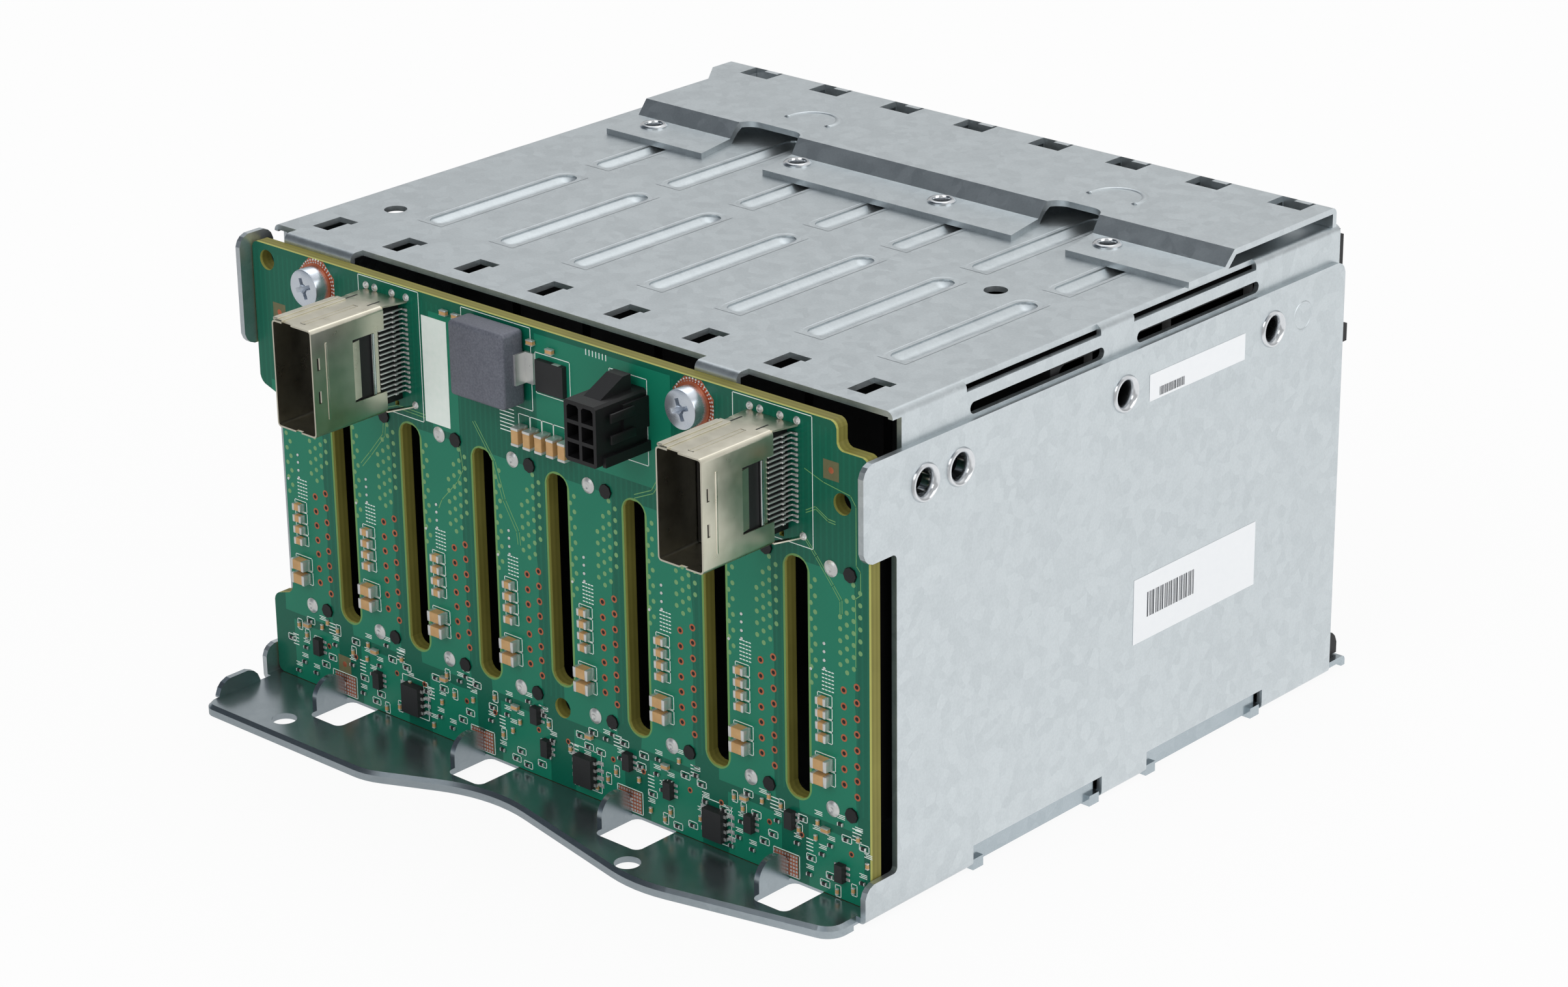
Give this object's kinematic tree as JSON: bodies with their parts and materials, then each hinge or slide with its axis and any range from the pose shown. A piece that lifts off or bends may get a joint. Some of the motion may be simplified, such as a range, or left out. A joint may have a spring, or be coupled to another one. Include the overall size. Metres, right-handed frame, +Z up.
{
  "type": "drive backplane",
  "caption": "Sheet-steel drive cage with a slotted green backplane board at one end, cable and power connectors, and slide-out blanks in its bays.",
  "frame": {"origin": "middle of the outline, on the surface that the cage stands on", "axes": "+Z up, +Y into the cage from the board to the open bays, +X to the right when facing the board"},
  "size_m": [0.1354, 0.1406, 0.0829],
  "materials": {
    "galvanised_sheet": "spangled zinc-coated steel, satin",
    "bright_steel": "bright plated steel",
    "connector_shell": "nickel-plated sheet, satin, warm tone",
    "board_green": "green solder mask over fibreglass, semi-gloss",
    "black_plastic": "moulded black plastic, matt",
    "blank_plastic": "moulded dark plastic, lightly textured",
    "contact_metal": "tinned contact metal",
    "ferrite_grey": "moulded iron powder, satin grey",
    "ceramic_tan": "fired ceramic, satin"
  },
  "bodies": {
    "cage": {"backplane_board": "board_green", "board_screws": "bright_steel", "bracket_rivets": "bright_steel", "bulk_capacitors": "ceramic_tan", "bypass_capacitors": "ceramic_tan", "cage_base": "galvanised_sheet", "cage_wall_left": "galvanised_sheet", "cage_wall_right": "galvanised_sheet", "connector_solder_posts": "contact_metal", "cover_skirt_left": "galvanised_sheet", "cover_skirt_right": "galvanised_sheet", "drive_connector_1": "black_plastic", "drive_connector_2": "black_plastic", "drive_connector_3": "black_plastic", "drive_connector_4": "black_plastic", "drive_connector_5": "black_plastic", "drive_connector_6": "black_plastic", "drive_connector_7": "black_plastic", "drive_connector_8": "black_plastic", "driver_chip_leads": "contact_metal", "driver_chips": "black_plastic", "filter_capacitors": "ceramic_tan", "inductor_body": "ferrite_grey", "inductor_terminals": "contact_metal", "minisas_contacts_left": "contact_metal", "minisas_contacts_right": "contact_metal", "minisas_housing_left": "black_plastic", "minisas_housing_right": "black_plastic", "minisas_shell_left": "connector_shell", "minisas_shell_right": "connector_shell", "power_header_housing": "black_plastic", "power_header_pins": "contact_metal", "regulator_chip": "black_plastic", "screw_washers": "bright_steel", "side_eyelets": "bright_steel", "small_transistors": "black_plastic", "top_bracket": "galvanised_sheet", "top_cover": "galvanised_sheet"},
    "blank_1": {"drive_blank_1": "blank_plastic"},
    "blank_2": {"drive_blank_2": "blank_plastic"},
    "blank_3": {"drive_blank_3": "blank_plastic"},
    "blank_4": {"drive_blank_4": "blank_plastic"},
    "blank_5": {"drive_blank_5": "blank_plastic"},
    "blank_6": {"drive_blank_6": "blank_plastic"},
    "blank_7": {"drive_blank_7": "blank_plastic"},
    "blank_8": {"drive_blank_8": "blank_plastic"}
  },
  "joints": [
    {"name": "blank_slide_1", "type": "slide", "parent": "cage", "child": "blank_1", "axis": [0, 1, 0], "range_m": [0, 0.08]},
    {"name": "blank_slide_2", "type": "slide", "parent": "cage", "child": "blank_2", "axis": [0, 1, 0], "range_m": [0, 0.08]},
    {"name": "blank_slide_3", "type": "slide", "parent": "cage", "child": "blank_3", "axis": [0, 1, 0], "range_m": [0, 0.08]},
    {"name": "blank_slide_4", "type": "slide", "parent": "cage", "child": "blank_4", "axis": [0, 1, 0], "range_m": [0, 0.08]},
    {"name": "blank_slide_5", "type": "slide", "parent": "cage", "child": "blank_5", "axis": [0, 1, 0], "range_m": [0, 0.08]},
    {"name": "blank_slide_6", "type": "slide", "parent": "cage", "child": "blank_6", "axis": [0, 1, 0], "range_m": [0, 0.08]},
    {"name": "blank_slide_7", "type": "slide", "parent": "cage", "child": "blank_7", "axis": [0, 1, 0], "range_m": [0, 0.08]},
    {"name": "blank_slide_8", "type": "slide", "parent": "cage", "child": "blank_8", "axis": [0, 1, 0], "range_m": [0, 0.08]}
  ]
}
